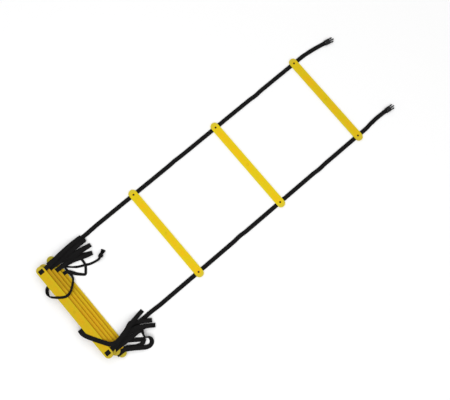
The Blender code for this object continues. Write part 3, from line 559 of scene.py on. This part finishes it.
# loops and ties
# the part's own route points: x, y from that side's strap line, z and, where the band leans, its
# roll in degrees; round loop_right_2's lobe it leans less than in the part
loopRoutes = {
    "loop_left_1": [
        (-0.0002, 0, 0.0019), (-0.012, 0, 0.0019), (-0.017, 0, 0.002), (-0.019, 0, 0.0034),
        (-0.017, 0, 0.0049), (-0.011, 0, 0.005), (0.015, -0.0005, 0.005), (0.03, -0.0055, 0.0042),
        (0.065, -0.029, 0.0024), (0.092, -0.048, 0.002), (0.116, -0.061, 0.0008),
        (0.129, -0.068, 0.0012), (0.1318, -0.0695, 0.0034), (0.1285, -0.069, 0.0054),
        (0.116, -0.066, 0.0046), (0.092, -0.058, 0.004), (0.062, -0.047, 0.004),
        (0.03, -0.0402, 0.006), (0.01, -0.0382, 0.0079), (0.002, -0.038, 0.0081),
        (-0.0118, -0.038, 0.0081),
    ],
    "loop_left_2": [
        (-0.0122, -0.038, 0.0081), (-0.025, -0.038, 0.0081), (-0.029, -0.038, 0.0082),
        (-0.031, -0.038, 0.0095), (-0.029, -0.038, 0.0109), (-0.024, -0.038, 0.011),
        (0.003, -0.038, 0.011), (0.028, -0.0378, 0.0086), (0.068, -0.0372, 0.0064),
        (0.104, -0.0385, 0.0046), (0.131, -0.041, 0.0013), (0.143, -0.042, 0.0012),
        (0.1458, -0.0422, 0.0034), (0.1425, -0.042, 0.0054), (0.129, -0.0395, 0.0054),
        (0.104, -0.034, 0.0066), (0.068, -0.0288, 0.0084), (0.028, -0.0206, 0.011),
        (0, -0.018, 0.0139), (-0.009, -0.018, 0.0141), (-0.0238, -0.018, 0.0141),
    ],
    "loop_left_3": [
        (-0.0242, -0.018, 0.0141), (-0.037, -0.018, 0.0141), (-0.041, -0.018, 0.0142),
        (-0.043, -0.018, 0.0155), (-0.041, -0.018, 0.0169), (-0.036, -0.018, 0.017),
        (-0.009, -0.018, 0.017), (0.026, -0.0178, 0.0134), (0.068, -0.0165, 0.0106),
        (0.102, -0.0152, 0.0088), (0.127, -0.0148, 0.0046), (0.14, -0.0147, 0.0042),
        (0.1438, -0.0147, 0.0064), (0.1405, -0.0147, 0.0086), (0.129, -0.0146, 0.0088),
        (0.104, -0.0143, 0.0112), (0.068, -0.0138, 0.0126), (0.026, -0.0098, 0.0156),
        (-0.012, -0.008, 0.0199), (-0.021, -0.008, 0.0201), (-0.0358, -0.008, 0.0201),
    ],
    "loop_left_4": [
        (-0.0362, -0.008, 0.0201), (-0.049, -0.008, 0.0201), (-0.053, -0.008, 0.0202),
        (-0.055, -0.008, 0.0215), (-0.053, -0.008, 0.0229), (-0.048, -0.008, 0.023),
        (-0.018, -0.008, 0.023), (0.008, -0.0046, 0.0206), (0.028, -0.0012, 0.0182),
        (0.068, 0.0022, 0.015), (0.094, 0.003, 0.0126), (0.116, 0.003, 0.0058),
        (0.132, 0.0024, 0.0046), (0.1368, 0.0022, 0.0067), (0.1325, 0.0022, 0.0088),
        (0.118, 0.0028, 0.0096), (0.094, 0.0026, 0.015), (0.068, 0.0016, 0.0172),
        (0.028, -0.003, 0.0204), (-0.024, -0.0088, 0.0259), (-0.033, -0.009, 0.0261),
        (-0.06, -0.009, 0.0261),
    ],
    "loop_right_1": [
        (-0.0002, 0, 0.0019), (-0.012, 0, 0.0019), (-0.017, 0, 0.002), (-0.019, 0, 0.0034),
        (-0.017, -0.0004, 0.0049), (-0.01, -0.0018, 0.005), (0.008, -0.007, 0.005),
        (0.017, -0.0115, 0.0051), (0.025, -0.017, 0.0044), (0.038, -0.0272, 0.0026),
        (0.055, -0.0402, 0.0009), (0.064, -0.047, 0.0008), (0.0725, -0.0535, 0.0012),
        (0.0757, -0.0568, 0.0031), (0.0725, -0.06, 0.0048), (0.062, -0.0645, 0.0038),
        (0.05, -0.0625, 0.0038), (0.034, -0.0545, 0.0056), (0.018, -0.0432, 0.0075),
        (0.008, -0.0386, 0.0081), (0.002, -0.038, 0.0081), (-0.0118, -0.038, 0.0081),
    ],
    "loop_right_2": [
        (-0.0122, -0.038, 0.0081), (-0.025, -0.038, 0.0081), (-0.029, -0.038, 0.0082),
        (-0.031, -0.038, 0.0095), (-0.029, -0.038, 0.0109), (-0.024, -0.0381, 0.011),
        (0.001, -0.0395, 0.0111), (0.01, -0.044, 0.0111), (0.02, -0.0508, 0.01),
        (0.034, -0.0608, 0.0084), (0.054, -0.0758, 0.0066), (0.067, -0.0842, 0.0038),
        (0.078, -0.088, 0.0012), (0.0885, -0.0858, 0.0011), (0.0955, -0.079, 0.0026, -12),
        (0.0982, -0.0705, 0.0056, -32), (0.0965, -0.063, 0.0077, -54),
        (0.091, -0.058, 0.0085, -66), (0.0862, -0.0535, 0.0086, -64),
        (0.0855, -0.047, 0.0086, -60), (0.0875, -0.0405, 0.0086, -56),
        (0.0895, -0.035, 0.0078, -44), (0.0898, -0.0292, 0.0074, -22),
        (0.0865, -0.024, 0.0082, -8), (0.079, -0.0215, 0.0094), (0.055, -0.0212, 0.0108),
        (0.026, -0.02, 0.0122), (0, -0.0182, 0.0139), (-0.009, -0.018, 0.0141),
        (-0.0238, -0.018, 0.0141),
    ],
    "loop_right_3": [
        (-0.0242, -0.018, 0.0141), (-0.037, -0.018, 0.0141), (-0.041, -0.018, 0.0142),
        (-0.043, -0.018, 0.0155), (-0.041, -0.018, 0.0169), (-0.036, -0.018, 0.017),
        (-0.006, -0.0182, 0.0171), (0.01, -0.0192, 0.0163), (0.026, -0.0202, 0.0154),
        (0.055, -0.021, 0.0146), (0.082, -0.0206, 0.0142), (0.1, -0.021, 0.013),
        (0.113, -0.0258, 0.0082), (0.127, -0.0348, 0.0018), (0.1375, -0.0424, 0.0012),
        (0.1402, -0.0444, 0.0034), (0.137, -0.042, 0.0055), (0.126, -0.0342, 0.0062),
        (0.112, -0.0244, 0.0112), (0.097, -0.0148, 0.0158), (0.084, -0.0074, 0.017),
        (0.07, -0.0048, 0.0174), (0.045, -0.0046, 0.0178), (0.018, -0.0056, 0.0188),
        (-0.01, -0.0077, 0.02), (-0.019, -0.008, 0.0201), (-0.0358, -0.008, 0.0201),
    ],
    "loop_right_4": [
        (-0.0362, -0.008, 0.0201), (-0.049, -0.008, 0.0201), (-0.053, -0.008, 0.0202),
        (-0.055, -0.008, 0.0215), (-0.053, -0.008, 0.0229), (-0.048, -0.008, 0.023),
        (-0.018, -0.0074, 0.0231), (0.006, -0.0015, 0.0222), (0.024, 0.0035, 0.0213),
        (0.044, 0.008, 0.0205), (0.06, 0.0132, 0.0192), (0.07, 0.0178, 0.017),
        (0.078, 0.02, 0.0142), (0.087, 0.015, 0.0104), (0.1, 0.0065, 0.0062),
        (0.112, -0.002, 0.0045), (0.13, -0.014, 0.0041), (0.14, -0.0208, 0.0042),
        (0.1427, -0.0226, 0.0063), (0.1396, -0.0205, 0.0084), (0.128, -0.0128, 0.0089),
        (0.112, -0.0018, 0.0094), (0.098, 0.0078, 0.0118), (0.086, 0.0132, 0.016),
        (0.074, 0.014, 0.0192), (0.06, 0.01, 0.0209), (0.044, 0.0044, 0.0223),
        (0.024, -0.001, 0.0234), (-0.024, -0.0088, 0.0259), (-0.033, -0.009, 0.0261),
        (-0.06, -0.009, 0.0261),
    ],
}
# how far a loop's two ends move along X inside their slats, where one band goes on as the next
loopJoins = {"1": (0, 0), "2": (0, -0.003), "3": (-0.003, -0.002), "4": (-0.002, -0.003)}
# the webbing that binds the pile: out of the right bundle, over the top slat, under its edge
bindingRoute = [
    (0.1385, 0.0268, 0.001), (0.131, 0.0257, 0.001), (0.12, 0.0241, 0.006), (0.11, 0.0226, 0.0132),
    (0.099, 0.0208, 0.0176), (0.084, 0.018, 0.0206), (0.068, 0.014, 0.0229),
    (0.05, 0.0085, 0.0245), (0.03, 0.0035, 0.0262), (0.01, 0.0005, 0.0281),
    (-0.008, 0.0015, 0.029), (-0.023, 0.01, 0.029), (-0.037, 0.031, 0.029), (-0.051, 0.054, 0.029),
    (-0.062, 0.073, 0.029), (-0.07, 0.089, 0.029), (-0.0735, 0.102, 0.0288),
    (-0.0742, 0.113, 0.0264), (-0.0742, 0.1192, 0.019), (-0.074, 0.118, 0.01),
    (-0.0715, 0.111, 0.0034), (-0.062, 0.101, 0.001), (-0.042, 0.087, 0.001),
]
# the narrow tape, from its knot to the left bundle, over the pile, round it and back across itself
tapeRoute = [
    (0.1408, -0.1028, 0.0074), (0.134, -0.1035, 0.0052, 8), (0.123, -0.1018, 0.0022, 12),
    (0.11, -0.099, 0.001, 6), (0.098, -0.095, 0.0006), (0.086, -0.0885, 0.0006),
    (0.06, -0.0755, 0.0006), (0.042, -0.0615, 0.0006), (0.026, -0.046, 0.0006),
    (0.0228, -0.0425, 0.0015), (0.0228, -0.045, 0.0026), (0.0226, -0.056, 0.0026),
    (0.0226, -0.072, 0.0026), (0.0226, -0.088, 0.0034), (0.0205, -0.098, 0.0056),
    (0.014, -0.107, 0.0088), (0.005, -0.1165, 0.0134), (-0.005, -0.125, 0.018),
    (-0.015, -0.132, 0.0234), (-0.027, -0.136, 0.0284), (-0.039, -0.134, 0.029),
    (-0.052, -0.126, 0.029), (-0.067, -0.1135, 0.0291), (-0.0755, -0.105, 0.0262, 10),
    (-0.082, -0.096, 0.018, 30), (-0.0835, -0.085, 0.0104, 35), (-0.079, -0.073, 0.006, 20),
    (-0.068, -0.065, 0.0049, 5), (-0.044, -0.062, 0.005), (-0.02, -0.062, 0.005),
    (0.008, -0.0625, 0.005), (0.019, -0.065, 0.005), (0.028, -0.075, 0.0044),
    (0.04, -0.092, 0.0016), (0.054, -0.107, 0.0007), (0.0635, -0.114, 0.0008),
    (0.072, -0.106, 0.0014), (0.083, -0.091, 0.0024), (0.087, -0.076, 0.002),
    (0.0866, -0.058, 0.0006),
]
tape = {
    "width": 0.01,
    "thickness": 0.0009,
    "ringSpacing": 0.0016,
    "knotJoin": (0.0046, 0.0024, 0.0003),   # how far the tape goes on into its knot
    # share of the tape's length from the knot, share of its width: crumpled here, spread there
    "widths": [(0.0, 0.9), (0.1, 0.95), (0.16, 0.9), (0.2, 0.64), (0.24, 0.8), (0.3, 0.9),
               (0.345, 0.76), (0.4, 0.86), (0.44, 1.0), (0.5, 0.95), (0.545, 0.8), (0.566, 0.62),
               (0.592, 1.2), (0.63, 1.32), (0.7, 1.1), (0.77, 1.35), (0.81, 1.38), (0.85, 1.12),
               (0.89, 1.0), (1.0, 0.85)],
}


def placedRoute(route, side):
    return [(*inRow(point, side), *point[3:]) for point in route]


def addBand(name, places, turns, band, mat, *stoodFor):
    mesh, length = bandMesh(name, places, turns, band)
    ob = addPiece(name, mesh, mat)
    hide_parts(*stoodFor)
    return ob, length


def addLoop(name, route, side):
    places, turns = smoothRoute(placedRoute(route, side), webbing["ringSpacing"])
    ob, length = addBand("webbing_" + name, places, turns, webbing, strapBlack, name)
    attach(ob, "pile")
    print(name, round(length, 4))


for name, route in loopRoutes.items():
    _, sideName, number = name.split("_")
    atStart, endShade = loopJoins[number]
    first, last = route[0], route[-1]
    route = [(first[0] + atStart, *first[1:])] + route[1:-1] + [(last[0] + endShade, *last[1:])]
    addLoop(name, route, ladder["sides"][sideName])
addLoop("binding_strap", bindingRoute, ladder["sides"]["right"])


# the tape's knot
knot = {
    "place": (0.15, -0.098, 0.0077),
    "turn": 27.0,
    "coreRadii": (0.0092, 0.0076, 0.0062),
    "coreFaces": (28, 18),
    "coreFolds": (0.05, 0.04),   # in shares of its radii
    "coreWaves": ((9, 5), (7, -6)),
    # middle, lean in degrees, radius across and up, width
    "wraps": [((-0.0028, 0, 0), 22, 0.008, 0.0066, 0.0088),
              ((0.0028, 0, 0.0001), -20, 0.0074, 0.0062, 0.0078)],
    "wrapSteps": 56,
    "wrapLumps": (3, 0.03),      # count, height in shares of the radii
    "flareStart": 0.005,
    "flareLength": 0.019,
    "flareHalfWidths": (0.0038, 0.0093),
    "flareDroop": (0.0058, 1.3),
    "flareSwell": 0.7,           # how soon it widens: the power of the way along it
    "flareBow": 0.08,            # how much shorter its corners are
    "flareRagged": 0.0005,
    "raggedWaves": 2.3,
    "flareThickness": 0.0008,
    "flareRows": 20,
    "flareColumns": 30,
    "pleats": 2.5,
    "pleatHeight": 0.0008,
    "pleatFade": 0.45,
    "sharpFrom": 55.0,
}


def meshFrom(work, name):
    mesh = bpy.data.meshes.new(name)
    work.to_mesh(mesh)
    work.free()
    return mesh


def coreMesh():
    # crumpled tape inside the knot
    work = bmesh.new()
    segments, rings = knot["coreFaces"]
    bmesh.ops.create_uvsphere(work, u_segments=segments, v_segments=rings, radius=1.0)
    deep, shallow = knot["coreFolds"]
    (deepX, deepZ), (shallowY, shallowX) = knot["coreWaves"]
    for v in work.verts:
        x, y, z = v.co
        fold = 1 + deep * math.sin(deepX * x + deepZ * z)
        fold += shallow * math.sin(shallowY * y + shallowX * x)
        v.co = Vector([c * r * fold for c, r in zip(v.co, knot["coreRadii"])])
    layer = work.loops.layers.uv.new("weave")
    for face in work.faces:
        for loop in face.loops:
            loop[layer].uv = (loop.vert.co.x, loop.vert.co.y + loop.vert.co.z)
    return meshFrom(work, "knotCore")


def wrapMesh(centre, lean, acrossRadius, heightRadius, width):
    # a closed turn of tape pulled tight over the core, its flat side to the core's middle
    turn = Matrix.Rotation(math.radians(lean), 3, "Z")
    steps = knot["wrapSteps"]
    lumps, lumpHeight = knot["wrapLumps"]
    places = []
    for i in range(steps):
        angle = 2 * math.pi * i / steps
        lumpy = 1 + lumpHeight * math.sin(lumps * angle)
        place = Vector((0, acrossRadius * lumpy * math.cos(angle),
                        heightRadius * lumpy * math.sin(angle)))
        places.append(Vector(centre) + turn @ place)
    middle, across = sum(places, Vector()) / steps, turn @ Vector((1, 0, 0))
    halfWidth, halfThickness = width / 2, tape["thickness"] / 2
    work = bmesh.new()
    layer = work.loops.layers.uv.new("weave")
    rings = []
    for place in places:
        out = (place - middle).normalized()
        rings.append([work.verts.new(place + across * (v * halfWidth) + out * (h * halfThickness))
                      for v, h in wholeSection()])
    count, step = len(rings[0]), (places[1] - places[0]).length
    for i in range(steps):
        here, after = rings[i], rings[(i + 1) % steps]
        for k in range(count):
            j = (k + 1) % count
            face = work.faces.new((here[k], after[k], after[j], here[j]))
            for loop, (a, b) in zip(face.loops, ((i, k), (i + 1, k), (i + 1, k + 1), (i, k + 1))):
                loop[layer].uv = (a * step, b * width * 2 / count)
    bmesh.ops.recalc_face_normals(work, faces=work.faces)
    return meshFrom(work, "knotWrap")


def fanMesh():
    # the cut end, fanned out in pleats
    work = bmesh.new()
    rows, columns = knot["flareRows"], knot["flareColumns"]
    narrow, wide = knot["flareHalfWidths"]
    droop, droopPower = knot["flareDroop"]
    high = knot["pleatHeight"]
    grid = []
    for i in range(rows + 1):
        s = i / rows
        half = narrow + (wide - narrow) * s ** knot["flareSwell"]
        line = []
        for j in range(columns + 1):
            v = 2 * j / columns - 1
            ragged = knot["flareRagged"] * math.sin(j * knot["raggedWaves"]) * s * s
            x = knot["flareStart"] + knot["flareLength"] * s * (1 - knot["flareBow"] * v * v) + ragged
            pleat = high * math.cos(v * knot["pleats"] * math.pi) * (1 - knot["pleatFade"] * s)
            line.append(work.verts.new((x, v * half, -droop * s ** droopPower + pleat)))
        grid.append(line)
    layer = work.loops.layers.uv.new("weave")
    for i in range(rows):
        for j in range(columns):
            corners = ((i, j), (i + 1, j), (i + 1, j + 1), (i, j + 1))
            face = work.faces.new([grid[row][column] for row, column in corners])
            for loop, (row, column) in zip(face.loops, corners):
                loop[layer].uv = (knot["flareLength"] * row / rows, tape["width"] * column / columns)
    bmesh.ops.solidify(work, geom=work.faces[:], thickness=knot["flareThickness"])
    bmesh.ops.recalc_face_normals(work, faces=work.faces)
    return meshFrom(work, "knotFan")


def knotMesh():
    whole = bmesh.new()
    for part in [coreMesh()] + [wrapMesh(*wrap) for wrap in knot["wraps"]] + [fanMesh()]:
        whole.from_mesh(part)
        bpy.data.meshes.remove(part)
    whole.transform(Matrix.Translation(inRow(knot["place"], ladder["sides"]["left"]))
                    @ Matrix.Rotation(math.radians(knot["turn"]), 4, "Z"))
    return smoothShaded(meshFrom(whole, "tapeKnot"), knot["sharpFrom"])


knotPiece = addPiece("tape_knot", knotMesh(), tapeBlack)
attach(knotPiece, "pile")
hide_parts("tie_knot")
start = tuple(a + b for a, b in zip(tapeRoute[0], tape["knotJoin"]))
places, turns = smoothRoute(placedRoute([start] + tapeRoute[1:], ladder["sides"]["left"]),
                            tape["ringSpacing"])
tapeBand, length = addBand("tape_round_pile", places, turns, tape, tapeBlack, "tie_tape")
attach(tapeBand, "pile")
# the knot's end is the far one, so the tape leaves the pile where it is tucked in
print("tape", round(length, 4))


# side straps
straps = {
    "pileStart": 0.00015,
    "coarse": 0.006,
    "fine": 0.0007,
    "fineReach": 1.15,           # rings lie close as far as this many times the fold's half length
    "foldHalf": (0.024, 0.004, 0.0065),
    "tailStart": 1.2413,
    "tailDrop": 0.02,
    "tailLength": 0.1068,
    "tailReturn": 0.082,
    "tailSettle": 0.0157,
    "runShares": (0.4, 0.6, 0.8, 1.0),
    "returnShares": (0.4, 0.7, 1.0),
    "wrapSteps": 9,
    "barDiameter": 0.0032,
    "fitGap": 0.0003,
    # how far each strap lies off its line at these places, straight where the slats travel
    "swayX": (0, 0.05, 0.15, 0.212, 0.556, 0.5875, 0.619, 0.96, 0.9925, 1.025),
    "sway": {1: (0, -0.0005, -0.0018, 0, 0, 0.0012, 0, 0, -0.0018, 0),
             -1: (0, 0.0006, 0.0024, 0, 0, 0.0018, 0, 0, -0.0016, 0)},
    # the tail's heading at its start and at the buckle, in degrees
    "headings": {1: (-4.0, -13.0), -1: (8.0, -6.0)},
    # each span's name, the bodies that it joins and the solids that it stands for
    "spans": [("first", "pile", "span_1", ("pile_span", "rung_1_span")),
              ("middle", "span_1", "span_2", ("rung_1_span", "rung_2_span")),
              ("tail", "span_2", "span_3", ("rung_2_span", "tail_span"))],
}
strapLow = webbing["thickness"] / 2 + webbing["floorGap"]
wrapRadius = straps["barDiameter"] / 2 + straps["fitGap"] + webbing["thickness"] / 2
barHeight = strapLow + wrapRadius
returnHeight = strapLow + webbing["thickness"] + straps["fitGap"]


def straightPlaces(start, end, side, fold, foldHalf):
    reach = foldHalf * straps["fineReach"]
    xs, x = [], start
    while x < end - straps["fine"]:
        xs.append(x)
        x += straps["fine"] if abs(x + straps["fine"] - fold) < reach else straps["coarse"]
        if xs[-1] < fold - reach < x:
            x = fold - reach
    xs.append(end)
    sway = list(zip(straps["swayX"], straps["sway"][side]))
    return [inRow((x, valueAt(sway, x), webbing["tunnelHeight"]), side) for x in xs]


def tailPoint(side, distance, height, aside=0.0):
    # the tail's heading changes evenly from its start to the buckle
    first, last = [math.radians(a) for a in straps["headings"][side]]
    turn = first + (last - first) * distance / straps["tailLength"]
    mean = (first + turn) / 2
    x = distance * math.cos(mean) - aside * math.sin(turn)
    y = distance * math.sin(mean) + aside * math.cos(turn)
    return inRow((straps["tailStart"] + x, y, height), side)


def tailPlaces(side):
    long, drop, settle = straps["tailLength"], straps["tailDrop"], straps["tailSettle"]
    points = [inRow((x, 0, webbing["tunnelHeight"]), side)
              for x in (ladder["slatX"][2], straps["tailStart"])]
    run = [(drop + (long - drop) * share, strapLow) for share in (0, *straps["runShares"])]
    for i in range(1, straps["wrapSteps"]):
        angle = math.pi * i / straps["wrapSteps"]
        run.append((long + wrapRadius * math.sin(angle), barHeight - wrapRadius * math.cos(angle)))
    over = barHeight + wrapRadius
    run += [(long, over), (long - settle / 2, (over + returnHeight) / 2), (long - settle, returnHeight)]
    run += [(long - straps["tailReturn"] * share, returnHeight) for share in straps["returnShares"]]
    points += [tailPoint(side, distance, height) for distance, height in run]
    return smoothRoute(points, webbing["ringSpacing"])[0]


for sideName, side in ladder["sides"].items():
    starts = (straps["pileStart"], ladder["slatX"][0], ladder["slatX"][1])
    for i, (label, near, far, stoodFor) in enumerate(straps["spans"]):
        gap = straps["fitGap"] / 2
        fold, foldHalf = ladder["foldX"][i], straps["foldHalf"][i]
        places = straightPlaces(starts[i] + (gap if i else 0), ladder["slatX"][i] - gap, side,
                                fold, foldHalf)
        if label == "tail":
            places = places[:-1] + tailPlaces(side)
        ob, length = addBand("webbing_" + sideName + "_" + label, places, [0.0] * len(places),
                             webbing, strapBlack, *["strap_" + sideName + "_" + n for n in stoodFor])
        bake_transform(ob)
        print(ob.name, round(length, 4))


# stitches on the tails
stitching = {
    "pitch": 0.0026,
    "stitchLength": 0.0021,
    "threadRadius": 0.00026,
    "middleRise": 0.25,          # of the thread's middle over the webbing, in its radii
    "boxFrom": 0.0275,
    "boxTo": 0.046,
    "boxHalf": 0.0058,
    "tackAt": (0.086, 0.0872),
    "lineSteps": 8,
    "ballFaces": (10, 8),
    "weaveScale": 0.0024,        # length of webbing that one stitch takes up in the weave's UVs
}


def buildStitchTree():
    # drawn lines of sewing -> short rounded stitches laid end to end along them
    tree = bpy.data.node_groups.new("stitchLines", "GeometryNodeTree")
    for label, kind in (("Geometry", "Geometry"), ("Pitch", "Float"), ("Stitch length", "Float"),
                        ("Thread radius", "Float"), ("Thread", "Material")):
        tree.interface.new_socket(label, in_out="INPUT", socket_type="NodeSocket" + kind)
    tree.interface.new_socket("Geometry", in_out="OUTPUT", socket_type="NodeSocketGeometry")
    add, link = tree.nodes.new, tree.links.new
    given = add("NodeGroupInput").outputs
    curve, points = add("GeometryNodeMeshToCurve"), add("GeometryNodeCurveToPoints")
    points.mode = "LENGTH"
    link(given["Geometry"], curve.inputs["Mesh"])
    link(curve.outputs["Curve"], points.inputs["Curve"])
    link(given["Pitch"], points.inputs["Length"])
    ball = add("GeometryNodeMeshUVSphere")
    for label, count in zip(("Segments", "Rings"), stitching["ballFaces"]):
        feed(ball.inputs[label], count)
    stored, small = add("GeometryNodeStoreNamedAttribute"), add("ShaderNodeVectorMath")
    stored.data_type = "FLOAT2"
    stored.domain = "CORNER"
    stored.inputs["Name"].default_value = "weave"
    small.operation = "SCALE"
    feed(small.inputs["Scale"], stitching["weaveScale"])
    link(ball.outputs["UV Map"], small.inputs[0])
    link(ball.outputs["Mesh"], stored.inputs["Geometry"])
    link(small.outputs[0], stored.inputs["Value"])
    size = add("ShaderNodeCombineXYZ")
    thin, halfLength = given["Thread radius"], times(given["Stitch length"], 0.5)
    for socket, value in zip(size.inputs, (thin, thin, halfLength)):
        link(value, socket)
    laid = add("GeometryNodeInstanceOnPoints")
    link(points.outputs["Points"], laid.inputs["Points"])
    link(stored.outputs["Geometry"], laid.inputs["Instance"])
    link(points.outputs["Rotation"], laid.inputs["Rotation"])
    link(size.outputs[0], laid.inputs["Scale"])
    shape = laid.outputs["Instances"]
    for kind in ("GeometryNodeRealizeInstances", "GeometryNodeSetShadeSmooth",
                 "GeometryNodeSetMaterial"):
        node = add(kind)
        link(shape, node.inputs["Geometry"])
        shape = node.outputs["Geometry"]
    link(given["Thread"], node.inputs["Material"])
    link(shape, add("NodeGroupOutput").inputs["Geometry"])
    return tree


def linesMesh(name, lines):
    verts, edges = [], []
    for line in lines:
        edges += [(len(verts) + i, len(verts) + i + 1) for i in range(len(line) - 1)]
        verts += [tuple(p) for p in line]
    mesh = bpy.data.meshes.new(name)
    mesh.from_pydata(verts, edges, [])
    return mesh


def madeByNodes(name, mesh, tree, values):
    # runs the node tree on drawn lines and keeps the result as a plain mesh
    drawn = addObject(name + "Lines", mesh)
    modifier = drawn.modifiers.new("nodes", "NODES")
    modifier.node_group = tree
    sockets = {item.name: item.identifier for item in tree.interface.items_tree
               if item.item_type == "SOCKET" and item.in_out == "INPUT"}
    for label, value in values.items():
        modifier[sockets[label]] = value
    bpy.context.view_layer.update()
    made = bpy.data.meshes.new_from_object(drawn.evaluated_get(bpy.context.evaluated_depsgraph_get()))
    bpy.data.objects.remove(drawn)
    made.name = name
    return addObject(name, made)


def sewnLine(side, start, end):
    # in short steps, so that the line bends with the tail
    steps, rise = stitching["lineSteps"], stitching["threadRadius"] * stitching["middleRise"]
    height = returnHeight + webbing["thickness"] / 2 + rise
    return [tailPoint(side, start[0] + (end[0] - start[0]) * k / steps, height,
                      start[1] + (end[1] - start[1]) * k / steps) for k in range(steps + 1)]


stitchTree = buildStitchTree()
for sideName, side in ladder["sides"].items():
    a, b, w = stitching["boxFrom"], stitching["boxTo"], stitching["boxHalf"]
    corners = [(a, -w), (b, -w), (b, w), (a, w), (a, -w), (b, w)]
    lines = [sewnLine(side, start, end) for start, end in zip(corners, corners[1:])]
    lines.append(sewnLine(side, (a, w), (b, -w)))
    lines += [sewnLine(side, (at, -w), (at, w)) for at in stitching["tackAt"]]
    ob = madeByNodes("stitches_" + sideName, linesMesh("sewn", lines), stitchTree, {
        "Pitch": stitching["pitch"], "Stitch length": stitching["stitchLength"],
        "Thread radius": stitching["threadRadius"], "Thread": threadBlack})
    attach(ob, "span_3")
print("stitches made")


# finishes of the imported parts: each slat's share of the yellow's red, green and blue, which paints
# light and shade slat by slat: the piled slats and rung_3 darker and the piled ones more orange, rung_2
# a little lighter
slatPaintedLight = {
    "rung_1": (1, 1, 1),
    "rung_2": (1.02, 1.03, 1),
    "rung_3": (0.92, 0.9, 1),
    "piled_rung_1": (0.82, 0.75, 1),
    "piled_rung_2": (0.84, 0.725, 1),
    "piled_rung_3": (0.83, 0.69, 1),
    "piled_rung_4": (0.8, 0.655, 1),
    "piled_rung_5": (0.785, 0.755, 1),
}
# the slats that another one of the pile lies on, which get painted shade under that one and where the
# bundle lies, and a darker painted shade at their round ends; both places are from the slat's middle
coveredSlat = {
    "names": ["piled_rung_1", "piled_rung_2", "piled_rung_3", "piled_rung_4"],
    "values": {"Under-slat shade to": 0.004, "Shaded from": 0.075, "End tone": (0.5, 0.49, 0.03)},
}
for name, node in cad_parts.items():
    if node.hide_render:
        continue
    mat = buckleBlack
    if name in slatPaintedLight:
        values = dict(finishes["slat"]["values"])
        if name in coveredSlat["names"]:
            values.update(coveredSlat["values"])
        # each slat's painted light and shade scales its tones
        for label in ("Tone A", "Tone B", "Side tone", "End tone"):
            values[label] = tuple(c * share for c, share in zip(values[label], slatPaintedLight[name]))
        corners = [Vector(c) for c in node.bound_box]
        values["Middle"] = tuple(sum(corners, Vector()) / len(corners))
        mat = newMaterial("yellow_" + name, "slat", values)
    node.material_slots[0].material = mat


# floor, lights
studio = {
    "floorHalf": 30.0,
    "floorDrop": 0.0001,
    "floor": {"Base Color": (0.96, 0.96, 0.96, 1), "Roughness": 0.9, "Specular IOR Level": 0.1},
    # bearing and elevation in degrees, distance, size, power in watts
    "lights": [(178, 50, 3.8, 1.8, 25), (60, 46, 3.8, 2.2, 13.6), (-60, 46, 3.8, 2.2, 13.6),
               (-125, 46, 3.8, 2.2, 14.6)],
    "horizon": 0.78,
    "zenith": 0.75,
    "zenithFrom": 0.85,
}


def addFloor():
    half, low = studio["floorHalf"], -studio["floorDrop"]
    mesh = bpy.data.meshes.new("floor")
    corners = [(x * half, y * half, low) for x, y in ((-1, -1), (1, -1), (1, 1), (-1, 1))]
    mesh.from_pydata(corners, [], [(0, 1, 2, 3)])
    mat = bpy.data.materials.new("floorPale")
    mat.use_nodes = True
    for label, value in studio["floor"].items():
        mat.node_tree.nodes["Principled BSDF"].inputs[label].default_value = value
    addPiece("floor", mesh, mat)


def addLamp(name, bearing, elevation, distance, size, power):
    data = bpy.data.lights.new("softbox", "AREA")
    data.size = size
    data.energy = power
    lamp = addObject(name, data)
    a, e = math.radians(bearing), math.radians(elevation)
    out = Vector((math.cos(a) * math.cos(e), math.sin(a) * math.cos(e), math.sin(e)))
    lamp.location = out * distance
    lamp.rotation_mode = "QUATERNION"
    lamp.rotation_quaternion = out.to_track_quat("Z", "Y")
    lamp.visible_camera = False


def addWorld():
    world = bpy.data.worlds.new("studio")
    bpy.context.scene.world = world
    world.use_nodes = True
    tree, background = world.node_tree, world.node_tree.nodes["Background"].inputs
    height = separated(tree.nodes.new("ShaderNodeTexCoord").outputs["Generated"])[2]
    level = spread(height, 0.0, studio["zenithFrom"], studio["horizon"], studio["zenith"])
    feed(background["Strength"], level)
    feed(background["Color"], (1, 1, 1))


addFloor()
for i, light in enumerate(studio["lights"]):
    addLamp("softbox" + str(i), *light)
addWorld()
bpy.context.scene.view_settings.view_transform = "Standard"
print("stage ready")
